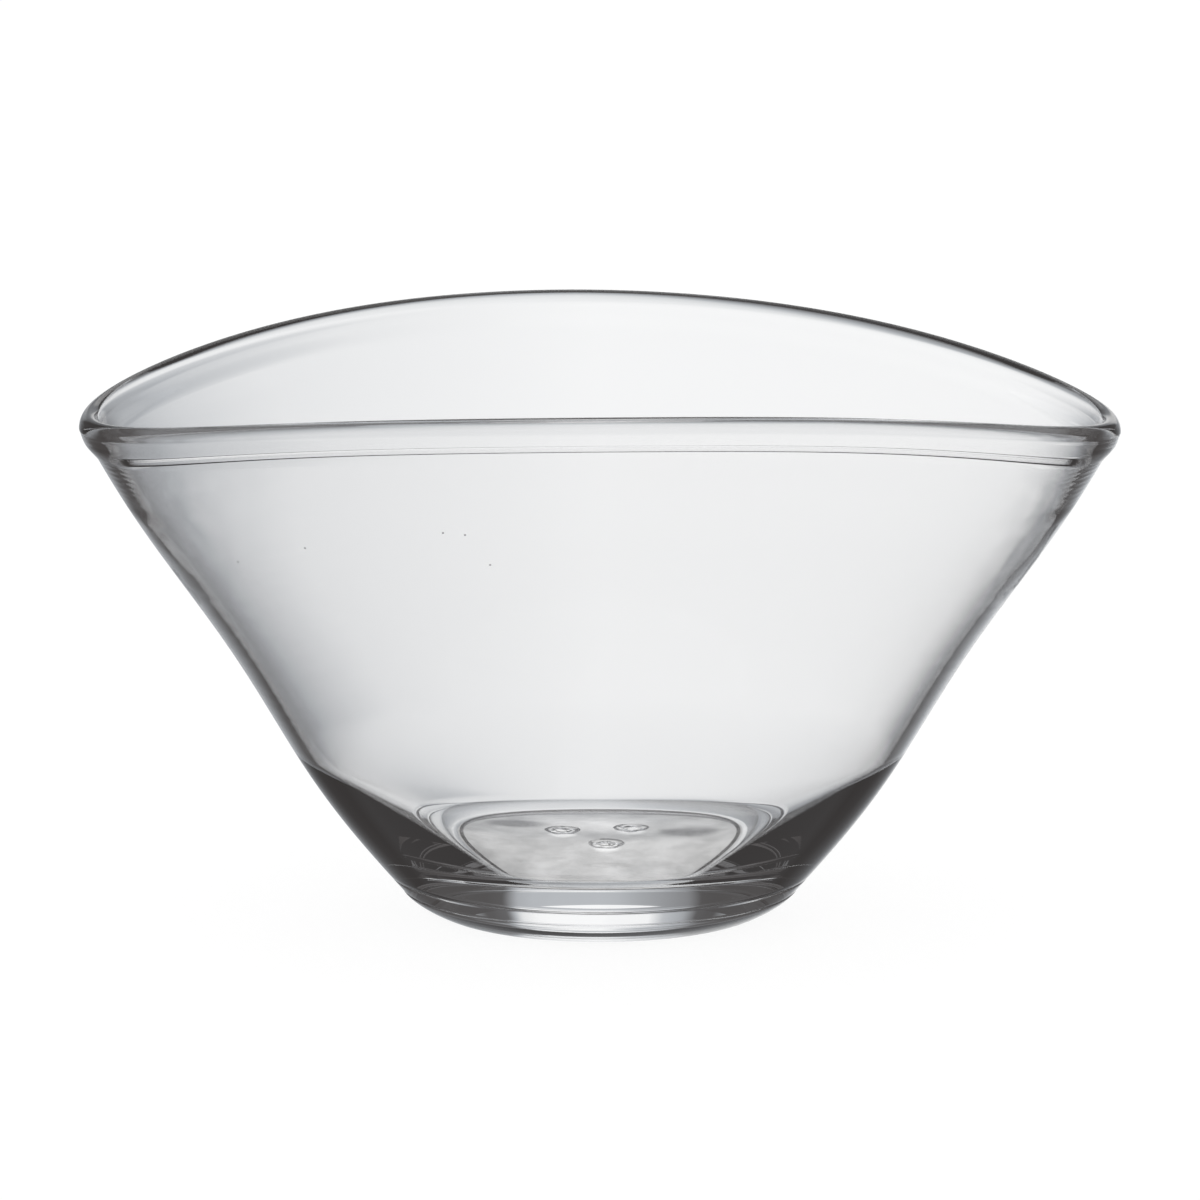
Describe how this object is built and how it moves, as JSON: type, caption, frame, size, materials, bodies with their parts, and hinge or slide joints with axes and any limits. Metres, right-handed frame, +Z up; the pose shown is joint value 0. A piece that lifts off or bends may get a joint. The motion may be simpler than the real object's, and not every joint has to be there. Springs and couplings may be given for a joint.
{
  "type": "oval bowl",
  "caption": "Oval bowl of clear hand-blown glass with a flared wall, a rim that rises along the sides, a turned-over lip, a thick floor and a low foot, for serving or display.",
  "frame": {"origin": "centre of the flat ring under the foot that the bowl stands on", "axes": "+X along the oval, +Y across it, +Z up through the open mouth"},
  "size_m": [0.3, 0.2284, 0.1639],
  "materials": {
    "clear_glass": "fire-polished, clear and colourless"
  },
  "bodies": {
    "root": {"bowl_body": "clear_glass", "folded_lip": "clear_glass", "foot": "clear_glass", "pontil_scar_1": "clear_glass", "pontil_scar_2": "clear_glass", "pontil_scar_3": "clear_glass"}
  },
  "joints": []
}
